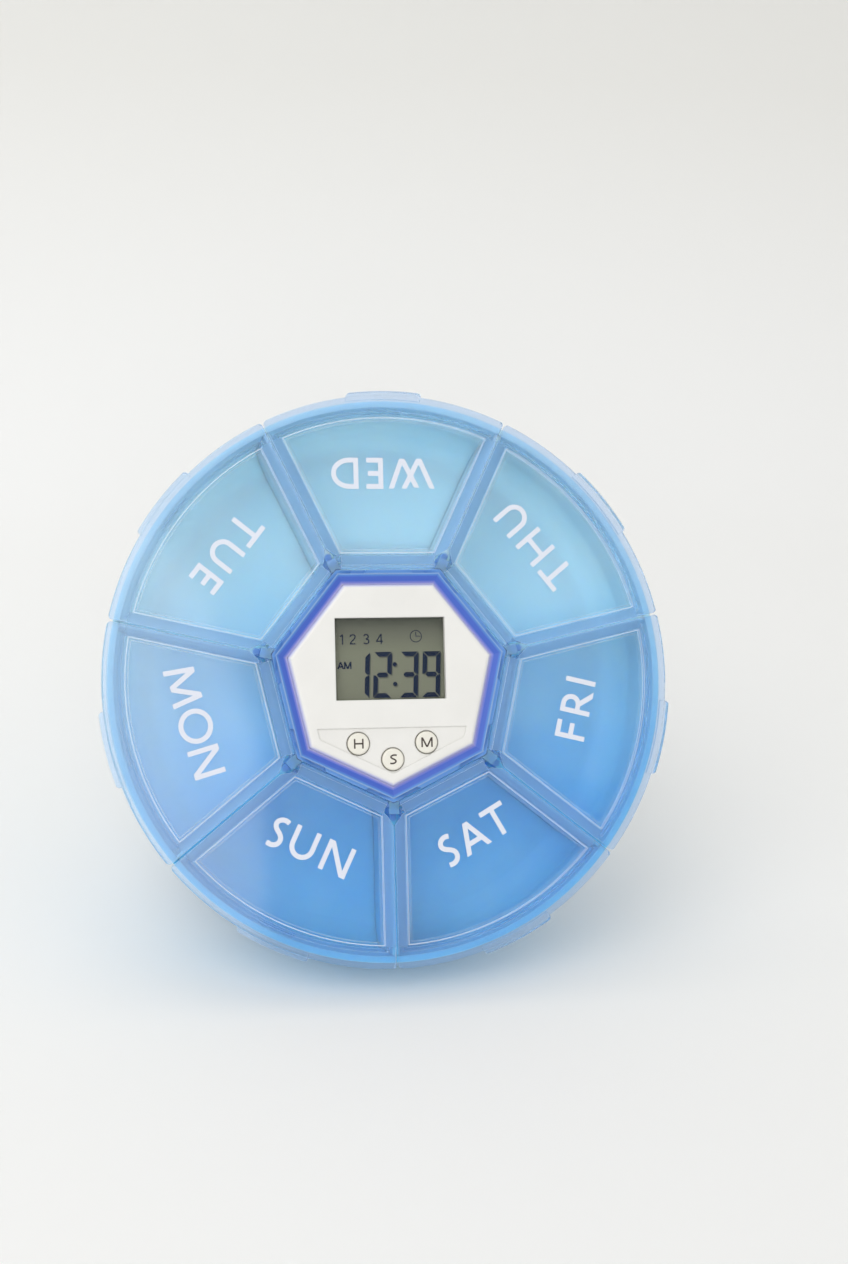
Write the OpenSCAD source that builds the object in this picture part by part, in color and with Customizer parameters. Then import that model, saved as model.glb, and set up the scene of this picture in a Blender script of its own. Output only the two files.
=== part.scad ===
// Round seven-day pill dispenser with a heptagonal alarm timer in its middle.
// The disc is drawn flat, with its back at height 0 and its front facing up,
// and stand_up() then leans it back on its folding leg, as it is used.

/* [Disc] */
// Radius of the disc at the lids' outer edge
disc_r = 58; // [56:0.5:60]
// Height of the disc from its foot ring to the top of its lids
disc_h = 25.4; // [24.4:0.2:27]
// Angle that the disc leans back from upright, in degrees
lean = 32; // [29:1:35]

/* [Tray] */
// Thickness of the tray's outer wall
wall_t = 1.3; // [1.1:0.1:1.6]
// Thickness of the tray's floor
floor_t = 1.6; // [1.2:0.1:2]
// Height of the foot ring, which leaves room for the folded leg
foot_h = 3.4; // [3.2:0.1:4]
// Width of the foot ring's wall
foot_t = 1.5; // [1.2:0.1:2]
// Radius of the rounded edge between the tray's outer wall and its floor
edge_r = 7; // [6:0.5:8]
// How much the outer wall leans inwards on its way down
wall_draft = 0.7; // [0.4:0.1:1]
// Thickness of the walls between the pockets
divider_t = 1.4; // [1.2:0.1:1.6]

/* [Lids] */
// Thickness of a lid's plate
lid_t = 1.4; // [1.2:0.1:1.6]
// How far a lid reaches past the tray's outer wall
lid_overhang = 1.1; // [0.8:0.1:1.4]
// Gap between two lids
lid_gap = 0.4; // [0.3:0.05:0.6]
// Radius of a lid's outer corners
lid_corner_r = 0.9; // [0.6:0.1:1.4]
// Radius of the rounded upper edge at the rim
lid_edge_r = 0.45; // [0.3:0.05:0.6]
// Thickness of the rim that plugs a pocket
plug_t = 0.7; // [0.6:0.1:0.9]
// Depth of the rim that plugs a pocket
plug_h = 2.2; // [1.6:0.1:2.6]
// Gap between the plug rim and the outer wall
plug_gap = 0.8; // [0.7:0.05:1]
// Gap between the plug rim and a divider
plug_side_gap = 0.75; // [0.6:0.05:0.9]
// Width of the thumb tab
tab_w = 15.4; // [12:0.2:18]
// How far the thumb tab stands out past the lid
tab_out = 0.85; // [0.6:0.05:1.2]
// Height of the thumb tab
tab_h = 1.9; // [1.4:0.1:2.2]
// Step down from the lid's top to the thumb tab
tab_step = 0.5; // [0.3:0.1:0.7]
// Radius of the hinge barrel
barrel_r = 0.8; // [0.7:0.05:0.9]
// Radius of the hinge's stub pins
pin_r = 0.45; // [0.4:0.05:0.5]
// Height of the snap beads on lid and wall
bead_h = 0.28; // [0.2:0.02:0.3]
// Width of the snap beads
bead_w = 8; // [5:0.5:12]

/* [Middle ring] */
// Distance from the centre to the ring's outer flats
ring_out = 22.35; // [22:0.05:22.8]
// Distance from the centre to the timer's flats
timer_out = 19.37; // [19.2:0.01:19.5]
// Gap between the timer and the ring
timer_gap = 0.23; // [0.15:0.01:0.3]
// Thickness of the tray's collar
collar_t = 1.4; // [1.2:0.1:1.5]
// Width of the ring's raised outer lip
lip_w = 0.75; // [0.5:0.05:1]
// Height of the ring's top below the lids' top
ring_sink = 0.2; // [0.15:0.05:0.4]
// Height of the ring's flange over the collar
flange_h = 2; // [1.8:0.1:2.4]
// Depth of the sloping band between the lip and the timer
band_drop = 0.9; // [0.6:0.1:1.2]
// Width of the ledge that the timer rests on
ledge_w = 2.2; // [1.8:0.1:2.6]
// Thickness of that ledge
ledge_t = 1.4; // [1.2:0.1:1.8]

/* [Timer] */
// Height of the timer above the lids' top
timer_rise = 0.2; // [0:0.05:0.4]
// Height of the timer from its back to its face
timer_h = 14.6; // [14.4:0.1:15]
// Thickness of the timer's front wall
face_t = 1.4; // [1.3:0.1:1.6]
// Thickness of the timer's side walls
shell_t = 1.3; // [1.1:0.1:1.4]
// Radius of the timer's upright corners
timer_corner_r = 1; // [0.6:0.1:1.4]
// Radius of the rounding round the timer's face
timer_edge_r = 1.1; // [0.8:0.1:1.2]
// Width of the display opening
window_w = 22.6; // [21.6:0.1:22.8]
// Height of the display opening
window_h = 16.6; // [16:0.1:16.8]
// Height of the opening's middle above the timer's centre
window_y = 4.3; // [4:0.05:4.5]
// Height of the step line above which the face is full height
step_y = -9.67; // [-9.8:0.01:-9.4]
// Depth of the button field below the face
step_h = 0.3; // [0.2:0.05:0.4]
// Margin of the button field from the timer's flats
field_margin = 2.3; // [1.8:0.1:2.6]
// Radius of a button
button_r = 2.2; // [2:0.05:2.25]
// Gap round a button
button_gap = 0.22; // [0.15:0.01:0.25]
// How far a button stands out of its field
button_rise = 0.55; // [0.4:0.05:0.8]
// Travel of a button
button_travel = 0.5; // [0.3:0.05:0.6]

/* [Timer insides] */
// Thickness of the circuit board
board_t = 1.2; // [1:0.1:1.4]
// Thickness of the clear window over the display
pane_t = 0.8; // [0.6:0.1:0.9]
// Thickness of each of the display's two glasses
glass_t = 1.1; // [0.9:0.1:1.1]
// Radius of the coin cell
cell_r = 10; // [9.8:0.1:10]
// Thickness of the coin cell
cell_t = 3.2; // [3:0.1:3.2]
// Thickness of the timer's back cover
back_t = 1.4; // [1.3:0.1:1.5]
// Radius of the buzzer
buzzer_r = 3.7; // [3.3:0.1:3.8]
// Height of the buzzer
buzzer_h = 4.2; // [3.8:0.1:4.4]

/* [Folding leg] */
// Distance of the leg's hinge above the disc's centre
leg_hinge_y = 27; // [26:0.2:28]
// Angle between the open leg and upright, in degrees
leg_splay = 7.8; // [6.5:0.1:8.5]
// Width of the leg at its hinge
leg_top_w = 30; // [26:1:32]
// Width of the leg at its foot
leg_foot_w = 42; // [38:0.5:42]
// Thickness of the leg's web
leg_web_t = 1.6; // [1.2:0.1:1.9]
// Radius of the leg's hinge pin
leg_pin_r = 0.75; // [0.65:0.05:0.8]

/* [Hidden] */
$fn = 64;

// The seven-fold layout: a lid faces each flat, a divider each corner
sides = 7;
pitch = 360 / sides;
half = pitch / 2;
bottom_corner = -90;
function lid_angle(i) = bottom_corner + half + i * pitch;
function corner_angle(i) = bottom_corner + i * pitch;

// Heights, from the back of the disc
floor_top = foot_h + floor_t;
lid_bottom = disc_h - lid_t;
wall_clear = 0.2;
wall_top = lid_bottom - wall_clear;
divider_top = lid_bottom - 0.3;
ring_top = disc_h - ring_sink;
collar_top = ring_top - flange_h;
timer_top = disc_h + timer_rise;
timer_back = timer_top - timer_h;
overlap = 0.4;
joint = 0.01;

// Radii and distances from the disc's axis
wall_r = disc_r - lid_overhang;
wall_low_r = wall_r - wall_draft;
foot_inset = 2.1;
foot_r = wall_low_r - edge_r - foot_inset;
plug_r = wall_r - wall_t - plug_gap;
collar_in = ring_out - collar_t;
divider_fit = 0.15;
collar_fit = 0.05;
wall_start = collar_in / cos(half) + collar_t / 2;
ring_seat_gap = 0.1;
timer_well = timer_out + timer_gap;

// The lids' hinges
hinge_gap = 0.15;
barrel_step = 0.1;
hinge_a = ring_out + hinge_gap + barrel_r;
hinge_h = disc_h - barrel_r - barrel_step;
post_t = 2;
post_clear = 0.35;
post_wall = 0.7;
post_end = (hinge_a + pin_r) / cos(half) + post_wall;
post_top = disc_h - barrel_step;
barrel_half = hinge_side(hinge_a - barrel_r) - hinge_gap;
pin_short = 0.55;
pin_end = hinge_a * tan(half) - pin_short;
pin_clear = 0.06;
plug_in_gap = 0.1;
plug_in_a = hinge_a + barrel_r + plug_in_gap;
lid_clip = 1.5;
wall_bead_drop = 1.5;
plug_bead_drop = 2;
plug_side = divider_t / 2 + plug_side_gap;
function hinge_side(a) = a * tan(half) - post_t / 2 / cos(half);

// The standing pose
edge_center_r = wall_low_r - edge_r;
edge_center_h = foot_h + edge_r;
stand_z = edge_center_r * cos(lean) - edge_center_h * sin(lean) + edge_r;
front_reach = disc_r * sin(lean) + disc_h * cos(lean);
edge_back = edge_center_r * sin(lean) - edge_center_h * cos(lean) + edge_r;
foot_back = (foot_r + foot_t) * sin(lean);
back_reach = max(edge_back, foot_back);
stand_y = (front_reach - back_reach) / 2;

// The timer's layers
face_low = timer_top - face_t;
field_top = timer_top - step_h;
shell_in = timer_out - shell_t;
back_top = timer_back + back_t;
pane_top = face_low - 0.05;
glass_top = pane_top - pane_t - 0.05;
glass_low = glass_top - 2 * glass_t;
glass_w = window_w + 1.4;
glass_y0 = window_y - window_h / 2 - 2;
glass_y1 = window_y + window_h / 2 + 0.7;
glass_ledge = 2.1;
board_gap = 2.1;
board_top = glass_low - board_gap;
board_low = board_top - board_t;
board_out = shell_in - 0.5;
board_corner_r = 1.5;
zebra_w = 22;
zebra_t = 1.7;
foam_t = 2;
strip_in = 0.2;
button_at = [[-7, -12.76], [0, -16.04], [7, -12.76]];
flange_r = button_r + 0.6;
flange_t = 0.8;
flange_top = face_low - 0.05;
stem_r = 1;
switch_w = 3.6;
switch_h = 1.4;
plunger_h = 0.5;
plunger_r = 0.9;
switch_top = board_top + switch_h + plunger_h;
stem_gap = 0.1;
stem_low = switch_top + button_travel + stem_gap;
screw_at = [[15.6, 3.2], [11.2, -9.9], [-11.2, -9.9], [-15.6, 3.2]];
boss_r = 1.6;
boss_gap = 0.2;
screw_r = 0.68;
screw_hole_r = 0.7;
screw_head_r = 1.5;
screw_head_h = 0.6;
screw_head_low = 0.05;
screw_l = 6;
buzzer_y = -14.4;

// The battery door and its cup
cell_y = 3.5;
door_r = cell_r + 0.9;
door_gap = 0.15;
door_t = back_t - 0.1;
tab_r = door_r + 1;
door_tab_t = 0.7;
groove_h = 0.9;
cup_r = cell_r + 0.25;
cup_wall = 0.8;
cup_roof = 0.6;
cell_low = back_top + groove_h + 0.05;
cup_top = cell_low + cell_t + 0.35;
door_tabs = 3;
door_tab_angle = 22;
door_turn = 45;

// The folding leg
leg_pin_h = foot_h / 2 + 0.05;
leg_t = 2.6;
leg_barrel_r = 1.3;
leg_play = 0.25;
leg_pin_fit = 0.03;
leg_bore_gap = 0.05;
lug_t = 2.25;
leg_open = lean + leg_splay;
leg_hinge_z = stand_z + leg_hinge_y * cos(lean) + leg_pin_h * sin(lean);
leg_l = leg_hinge_z / cos(leg_splay);
heel_top = -0.2;
heel_l = (foot_h - leg_pin_h - 0.05 - heel_top * cos(leg_open)) / sin(leg_open);

// Leans the flat disc back and sets it on the ground
module stand_up() {
    translate([0, stand_y, stand_z])
        rotate([90 - lean, 0, 0])
            children();
}

// Turns a lid drawn with its middle along +Y to its own place
module at_lid(i) {
    rotate([0, 0, lid_angle(i) - 90])
        children();
}

// Repeats a shape drawn along +X at each of the heptagon's corners
module at_corners() {
    for (i = [0 : sides - 1])
        rotate([0, 0, corner_angle(i)])
            children();
}

// Repeats a profile, drawn as distance from the axis and height, along each flat
module along_flats(length) {
    for (i = [0 : sides - 1])
        at_lid(i)
            rotate([90, 0, 90])
                linear_extrude(length, center = true)
                    children();
}

// A heptagon by the distance to its flats, with rounded corners
module heptagon(a, r = 0) {
    if (r == 0)
        polygon([for (i = [0 : sides - 1])
            a / cos(half) * [cos(corner_angle(i)), sin(corner_angle(i))]]);
    else {
        polygon([for (i = [0 : sides - 1]) for (s = [-1, 1])
            (a - r) / cos(half) * [cos(corner_angle(i)), sin(corner_angle(i))]
                + r * [cos(corner_angle(i) + s * half), sin(corner_angle(i) + s * half)]]);
        at_corners()
            translate([(a - r) / cos(half), 0])
                circle(r, $fn = 32);
    }
}

module heptagon_tube(outer, inner, low, high, r = 0) {
    translate([0, 0, low])
        linear_extrude(high - low)
            difference() {
                heptagon(outer, r);
                heptagon(inner, max(r - outer + inner, 0));
            }
}

// The half width of a sector whose sides stay g away from the dividers' middles
function sector_x(y, g) = y * tan(half) - g / cos(half);

// A sector between two dividers, from the flat at a out to the radius r
module sector(g, a, r) {
    intersection() {
        circle(r, $fn = 180);
        polygon([[sector_x(a, g), a], [sector_x(r, g), r],
            [-sector_x(r, g), r], [-sector_x(a, g), a]]);
    }
}

// The same with its two outer corners rounded to rc
module round_sector(g, a, r, rc) {
    along = sqrt(pow(r - rc, 2) - pow(g + rc, 2));
    out = [sin(half), cos(half)];
    in = [-cos(half), sin(half)];
    touch = along * out + g * in;
    mid = along * out + (g + rc) * in;
    sector(g + rc, a, r);
    polygon([[sector_x(a, g), a], touch, mid, [-mid.x, mid.y],
        [-touch.x, touch.y], [-sector_x(a, g), a]]);
    for (s = [-1, 1])
        translate([s * mid.x, mid.y])
            circle(rc, $fn = 32);
}

// The bowl's profile, moved in from the outer wall and up from the floor
module bowl_profile(in_wall, in_floor, top) {
    r = edge_r - in_floor;
    x = wall_low_r - in_wall;
    y = edge_center_h;
    slope = wall_draft / (wall_top - y);
    polygon([[0, y], [x, y], [x + slope * (top - y), top], [0, top]]);
    translate([0, foot_h + in_floor])
        square([x - r, r + 0.01]);
    translate([x - r, y])
        circle(r, $fn = 96);
}

// The tray: the bowl, the walls of its seven pockets, and the foot ring on its back

module dividers() {
    at_corners()
        rotate([90, 0, 0])
            linear_extrude(divider_t, center = true)
                intersection() {
                    bowl_profile(wall_t + divider_fit, floor_t, divider_top);
                    translate([wall_start, 0])
                        square([wall_r, divider_top]);
                }
}

module hinge_posts() {
    low = floor_top + divider_fit;
    difference() {
        at_corners()
            translate([wall_start, -post_t / 2, low])
                cube([post_end - wall_start, post_t, post_top - low]);
        for (i = [0 : sides - 1])
            at_lid(i)
                translate([0, hinge_a, hinge_h])
                    rotate([0, 90, 0])
                        cylinder(h = 2 * pin_end + 0.2, r = pin_r + pin_clear, center = true, $fn = 32);
    }
}

module wall_beads() {
    for (i = [0 : sides - 1])
        at_lid(i)
            intersection() {
                rotate_extrude($fn = 180)
                    translate([wall_r - wall_t, wall_top - wall_bead_drop])
                        circle(bead_h, $fn = 24);
                translate([-bead_w / 2, 0, 0])
                    cube([bead_w, disc_r, disc_h]);
            }
}

module leg_lugs() {
    lug_x = leg_top_w / 2 + leg_play;
    lug_w = 4;
    lug_low = 0.2;
    lug_h = foot_h + overlap - lug_low;
    for (s = [-1, 1])
        difference() {
            translate([s * (lug_x + lug_t / 2), leg_hinge_y, lug_low + lug_h / 2])
                cube([lug_t, lug_w, lug_h], center = true);
            translate([0, leg_hinge_y, leg_pin_h])
                rotate([0, 90, 0])
                    cylinder(h = 4 * lug_x, r = leg_pin_r + leg_pin_fit, center = true, $fn = 32);
        }
}

module base_tray() {
    color([0.45, 0.68, 0.9, 0.6])
        stand_up() {
            difference() {
                rotate_extrude($fn = 180)
                    bowl_profile(0, 0, wall_top);
                rotate_extrude($fn = 180)
                    bowl_profile(wall_t, floor_t, wall_top + 1);
                linear_extrude(floor_top + 1)
                    heptagon(ring_out + collar_fit);
            }
            wall_beads();
            leg_lugs();
        }
}

// The dividers, the collar round the open well, and the lids' hinge posts
module pocket_walls() {
    color([0.45, 0.68, 0.9, 0.6])
        stand_up()
            difference() {
                union() {
                    dividers();
                    heptagon_tube(ring_out, collar_in, foot_h, collar_top);
                    hinge_posts();
                }
                translate([0, 0, collar_top])
                    linear_extrude(disc_h)
                        heptagon(ring_out + ring_seat_gap);
            }
}

module foot_ring() {
    color([0.45, 0.68, 0.9, 0.6])
        stand_up()
            rotate_extrude($fn = 180)
                translate([foot_r, 0])
                    square([foot_t, foot_h]);
}

// The middle ring, which holds the timer in the tray's collar
module center_ring() {
    skirt_out = collar_in - ring_seat_gap;
    ledge_low = timer_back - ledge_t;
    band_in = timer_well - ledge_w;
    color([0.3, 0.45, 0.85, 0.75])
        stand_up()
            difference() {
                union() {
                    heptagon_tube(ring_out, timer_well, collar_top, ring_top, 0.5);
                    heptagon_tube(skirt_out, timer_well, ledge_low, collar_top + overlap);
                    heptagon_tube(skirt_out, band_in, ledge_low, timer_back);
                }
                along_flats(3 * disc_r)
                    polygon([[ring_out - lip_w, ring_top], [ring_out - lip_w, ring_top + 1],
                        [band_in, ring_top + 1], [band_in, ring_top - band_drop],
                        [timer_well, ring_top - band_drop]]);
            }
}

// A lid: its plate, plug rim, hinge barrel with stub pins, and thumb tab

module lid_plate() {
    intersection() {
        translate([0, 0, lid_bottom])
            linear_extrude(lid_t)
                round_sector(lid_gap / 2, hinge_a, disc_r, lid_corner_r);
        rotate_extrude($fn = 180) {
            translate([0, lid_bottom - 1])
                square([disc_r, lid_t + 1 - lid_edge_r]);
            translate([0, lid_bottom])
                square([disc_r - lid_edge_r, lid_t]);
            translate([disc_r - lid_edge_r, disc_h - lid_edge_r])
                circle(lid_edge_r, $fn = 32);
        }
    }
}

module plug_rim() {
    translate([0, 0, lid_bottom - plug_h])
        linear_extrude(plug_h + overlap)
            difference() {
                sector(plug_side, plug_in_a, plug_r);
                sector(plug_side + plug_t, plug_in_a + plug_t, plug_r - plug_t);
            }
    intersection() {
        rotate_extrude($fn = 180)
            translate([plug_r, wall_top - plug_bead_drop])
                circle(bead_h, $fn = 24);
        translate([-bead_w / 2, 0, 0])
            cube([bead_w, disc_r, disc_h]);
    }
}

module thumb_tab() {
    r = disc_r + tab_out;
    root = wall_r + 0.4;
    corner = 0.7;
    translate([0, 0, disc_h - tab_step - tab_h])
        linear_extrude(tab_h) {
            intersection() {
                difference() {
                    circle(r, $fn = 180);
                    circle(root, $fn = 180);
                }
                translate([-tab_w / 2 + corner, 0])
                    square([tab_w - 2 * corner, r]);
            }
            for (s = [-1, 1])
                translate([s * (tab_w / 2 - corner), 0])
                    difference() {
                        translate([0, sqrt(pow(r - corner, 2) - pow(tab_w / 2 - corner, 2))])
                            union() {
                                circle(corner, $fn = 32);
                                translate([-corner, -2])
                                    square([2 * corner, 2]);
                            }
                        translate([-s * (tab_w / 2 - corner), 0])
                            circle(root, $fn = 180);
                    }
        }
}

module hinge_barrel() {
    translate([0, hinge_a, hinge_h])
        rotate([0, 90, 0]) {
            cylinder(h = 2 * barrel_half, r = barrel_r, center = true, $fn = 48);
            cylinder(h = 2 * pin_end, r = pin_r, center = true, $fn = 32);
        }
}

module lid(i) {
    notch_a = post_end * cos(half) + post_t / 2 * sin(half) + post_clear;
    color([0.62, 0.8, 0.95, 0.45])
        stand_up()
            at_lid(i) {
                difference() {
                    union() {
                        lid_plate();
                        plug_rim();
                        thumb_tab();
                    }
                    for (s = [-1, 1]) {
                        translate([s * (barrel_half + disc_r / 2), notch_a - disc_r / 2, disc_h])
                            cube([disc_r, disc_r, 4 * lid_t], center = true);
                        translate([s * sector_x(notch_a, lid_gap / 2), notch_a, lid_bottom - 1])
                            linear_extrude(lid_t + 2)
                                polygon([[-s * lid_clip, -1], [-s * lid_clip, 0],
                                    [s * lid_clip * sin(half), lid_clip * cos(half)],
                                    [s * lid_clip, lid_clip * cos(half)], [s * lid_clip, -1]]);
                    }
                }
                hinge_barrel();
            }
}

// The timer's front shell, with its display opening and button field
module timer_bezel() {
    guide_t = 0.8;
    guide_gap = 0.25;
    guide_x = glass_w / 2 + guide_gap + guide_t / 2;
    guide_l = 12;
    guide_low = glass_low + 0.2;
    guide_h = face_low + overlap - guide_low;
    color([0.93, 0.93, 0.91])
        stand_up()
            difference() {
                union() {
                    difference() {
                        translate([0, 0, back_top])
                            linear_extrude(timer_top - back_top)
                                heptagon(timer_out, timer_corner_r);
                        translate([0, 0, back_top - 1])
                            linear_extrude(face_low - back_top + 1)
                                heptagon(shell_in);
                    }
                    for (p = screw_at)
                        translate([p.x, p.y, back_top])
                            cylinder(h = face_low - back_top + overlap, r = boss_r, $fn = 32);
                    for (s = [-1, 1])
                        translate([s * guide_x, window_y, guide_low + guide_h / 2])
                            cube([guide_t, guide_l, guide_h], center = true);
                }
                along_flats(3 * timer_out)
                    difference() {
                        translate([timer_out - timer_edge_r, timer_top - timer_edge_r])
                            square(timer_edge_r + 1);
                        translate([timer_out - timer_edge_r, timer_top - timer_edge_r])
                            circle(timer_edge_r, $fn = 32);
                    }
                translate([0, window_y, timer_top])
                    cube([window_w, window_h, 4 * face_t], center = true);
                translate([0, 0, field_top])
                    linear_extrude(step_h + 1)
                        intersection() {
                            heptagon(timer_out - field_margin, timer_corner_r);
                            translate([-timer_out, step_y - 2 * timer_out])
                                square(2 * timer_out);
                        }
                for (p = button_at)
                    translate([p.x, p.y, face_low - 1])
                        cylinder(h = face_t + 2, r = button_r + button_gap, $fn = 48);
                for (p = screw_at)
                    translate([p.x, p.y, back_top - 1])
                        cylinder(h = screw_l + 1, r = screw_hole_r, $fn = 32);
            }
}

// The timer's back cover with the cup for the coin cell

module cup_solid() {
    translate([0, cell_y, 0])
        rotate_extrude($fn = 96)
            difference() {
                union() {
                    translate([0, back_top - overlap])
                        square([tab_r + door_gap + cup_wall, groove_h + cup_wall + overlap]);
                    translate([0, back_top - overlap])
                        square([cup_r + cup_wall, cup_top + cup_roof - back_top + overlap]);
                }
                translate([-1, back_top - 1])
                    square([tab_r + door_gap + 1, groove_h + 1]);
                translate([-1, back_top - 1])
                    square([cup_r + 1, cup_top - back_top + 1]);
            }
}

module door_opening() {
    slot_play = 4;
    depth = back_t + 1 + joint;
    translate([0, cell_y, timer_back - 1]) {
        cylinder(h = depth, r = door_r + door_gap, $fn = 96);
        for (i = [0 : door_tabs - 1])
            rotate([0, 0, 90 + door_turn + i * 360 / door_tabs])
                door_wedge(tab_r + door_gap / 2, door_tab_angle + slot_play, depth);
    }
}

// A slice of a disc, centred on +X
module door_wedge(r, angle, h) {
    intersection() {
        cylinder(h = h, r = r, $fn = 96);
        linear_extrude(h)
            polygon([[0, 0], [2 * r, -2 * r * tan(angle / 2)], [2 * r, 2 * r * tan(angle / 2)]]);
    }
}

module timer_back_cover() {
    lip_out = shell_in - 0.15;
    lip_t = 1;
    lip_h = 1.2;
    edge_in = 0.1;
    hole_gap = 0.2;
    head_gap = 0.15;
    sound_r = 0.5;
    sound_ring = 1.8;
    sound_holes = 5;
    color([0.9, 0.9, 0.88])
        stand_up()
            difference() {
                union() {
                    translate([0, 0, timer_back])
                        linear_extrude(back_t)
                            heptagon(timer_out - edge_in, timer_corner_r);
                    heptagon_tube(lip_out, lip_out - lip_t, back_top - overlap, back_top + lip_h);
                    cup_solid();
                }
                door_opening();
                for (p = screw_at)
                    translate([p.x, p.y, timer_back]) {
                        translate([0, 0, -1])
                            cylinder(h = back_t + 2, r = screw_r + hole_gap, $fn = 32);
                        translate([0, 0, -1])
                            cylinder(h = screw_head_low + screw_head_h + 1,
                                r = screw_head_r + head_gap, $fn = 32);
                    }
                for (i = [0 : sound_holes - 1])
                    translate([0, buzzer_y, timer_back - 1])
                        rotate([0, 0, 90 + i * 360 / sound_holes])
                            translate([sound_ring, 0, 0])
                                cylinder(h = back_t + 2, r = sound_r, $fn = 24);
            }
}

module lcd_window() {
    pane_y0 = glass_y0 + 1.3;
    color([0.85, 0.9, 0.92, 0.4])
        stand_up()
            translate([-glass_w / 2, pane_y0, pane_top - pane_t])
                cube([glass_w, glass_y1 - pane_y0, pane_t]);
}

// Two glasses, the front one longer so that its lower edge bears the contacts
module lcd_cell() {
    color([0.45, 0.46, 0.41])
        stand_up()
            translate([-glass_w / 2, 0, 0]) {
                translate([0, glass_y0, glass_top - glass_t])
                    cube([glass_w, glass_y1 - glass_y0, glass_t]);
                translate([0, glass_y0 + glass_ledge, glass_low])
                    cube([glass_w, glass_y1 - glass_y0 - glass_ledge, glass_t + joint]);
            }
}

module zebra_strip() {
    color([0.85, 0.6, 0.65])
        stand_up()
            translate([-zebra_w / 2, glass_y0 + strip_in, board_top])
                cube([zebra_w, zebra_t, glass_top - glass_t - board_top]);
}

module lcd_foam_strip() {
    color([0.2, 0.2, 0.2])
        stand_up()
            translate([-zebra_w / 2, glass_y1 - foam_t - strip_in, board_top])
                cube([zebra_w, foam_t, glass_low - board_top]);
}

module circuit_board() {
    color([0.15, 0.4, 0.2])
        stand_up()
            translate([0, 0, board_low])
                linear_extrude(board_t)
                    difference() {
                        heptagon(board_out, board_corner_r);
                        for (p = screw_at)
                            translate(p)
                                circle(boss_r + boss_gap, $fn = 32);
                    }
}

module controller_chip() {
    chip_r = 3.6;
    chip_h = 1.3;
    dome_r = (chip_r * chip_r + chip_h * chip_h) / 2 / chip_h;
    color([0.08, 0.08, 0.08])
        stand_up()
            translate([0, window_y, board_top])
                rotate_extrude($fn = 48)
                    intersection() {
                        translate([0, chip_h - dome_r])
                            circle(dome_r, $fn = 96);
                        square([chip_r, chip_h]);
                    }
}

module quartz_crystal() {
    crystal_r = 0.95;
    crystal_l = 5.6;
    crystal_y = step_y + 1.2;
    color([0.8, 0.8, 0.82])
        stand_up()
            translate([-crystal_l / 2, crystal_y, board_top + crystal_r])
                rotate([0, 90, 0])
                    cylinder(h = crystal_l, r = crystal_r, $fn = 32);
}

module key_switches() {
    color([0.25, 0.25, 0.27])
        stand_up()
            for (p = button_at)
                translate([p.x, p.y, board_top]) {
                    translate([0, 0, switch_h / 2])
                        cube([switch_w, switch_w, switch_h], center = true);
                    cylinder(h = switch_h + plunger_h, r = plunger_r, $fn = 32);
                }
}

module buzzer() {
    mouth_r = 0.8;
    mouth_depth = 0.6;
    color([0.12, 0.12, 0.13])
        stand_up()
            translate([0, buzzer_y, board_low - buzzer_h])
                difference() {
                    cylinder(h = buzzer_h, r = buzzer_r, $fn = 48);
                    translate([0, 0, -1])
                        cylinder(h = mouth_depth + 1, r = mouth_r, $fn = 24);
                }
}

module coin_cell() {
    rim = 0.35;
    rim_w = 1.2;
    color([0.82, 0.82, 0.84])
        stand_up()
            translate([0, cell_y, cell_low])
                rotate_extrude($fn = 96)
                    difference() {
                        square([cell_r, cell_t]);
                        translate([cell_r - rim_w, cell_t - rim])
                            square([2 * rim_w, 2 * rim]);
                    }
}

// A strip that stands between the cell's side and the cup
module contact_positive() {
    gap = 0.05;
    strip_angle = 28;
    strip_h = cell_t - 0.6;
    color([0.85, 0.8, 0.6])
        stand_up()
            translate([0, cell_y, cell_low + 2 * gap])
                difference() {
                    door_wedge(cup_r - gap, strip_angle, strip_h);
                    translate([0, 0, -gap])
                        cylinder(h = cell_t, r = cell_r + gap, $fn = 96);
                }
}

// A flat spring under the cup's roof
module contact_negative() {
    gap = 0.2;
    strip_t = 0.12;
    strip_l = 14;
    strip_w = 5;
    cut_l = 8;
    cut_w = 2.4;
    cut_x = 1.5;
    color([0.85, 0.8, 0.6])
        stand_up()
            translate([0, cell_y, cell_low + cell_t + gap])
                linear_extrude(strip_t)
                    difference() {
                        square([strip_l, strip_w], center = true);
                        translate([cut_x, 0])
                            square([cut_l, cut_w], center = true);
                    }
}

module battery_door() {
    slot_w = 1.8;
    slot_l = 13;
    slot_h = 0.8;
    slide_gap = 0.1;
    color([0.88, 0.88, 0.86])
        stand_up()
            translate([0, cell_y, timer_back])
                difference() {
                    union() {
                        cylinder(h = door_t, r = door_r, $fn = 96);
                        cylinder(h = back_t + groove_h - slide_gap / 2, r = cell_r, $fn = 96);
                        for (i = [0 : door_tabs - 1])
                            rotate([0, 0, 90 + i * 360 / door_tabs])
                                translate([0, 0, back_t + slide_gap])
                                    door_wedge(tab_r, door_tab_angle, door_tab_t);
                    }
                    translate([0, 0, slot_h / 2 - 1])
                        cube([slot_l, slot_w, slot_h + 2], center = true);
                }
}

// A button: its cap, the flange that keeps it in, and the stem over its switch
module button(i) {
    top = field_top + button_rise;
    edge = 0.4;
    color([0.93, 0.9, 0.8])
        stand_up()
            translate([button_at[i].x, button_at[i].y, 0])
                rotate_extrude($fn = 48) {
                    translate([0, flange_top - flange_t])
                        square([flange_r, flange_t]);
                    translate([0, flange_top - joint])
                        square([button_r, top - edge - flange_top + joint]);
                    translate([0, flange_top])
                        square([button_r - edge, top - flange_top]);
                    translate([button_r - edge, top - edge])
                        intersection() {
                            circle(edge, $fn = 32);
                            square(2 * edge);
                        }
                    translate([0, stem_low])
                        square([stem_r, flange_top - stem_low]);
                }
}

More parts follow.
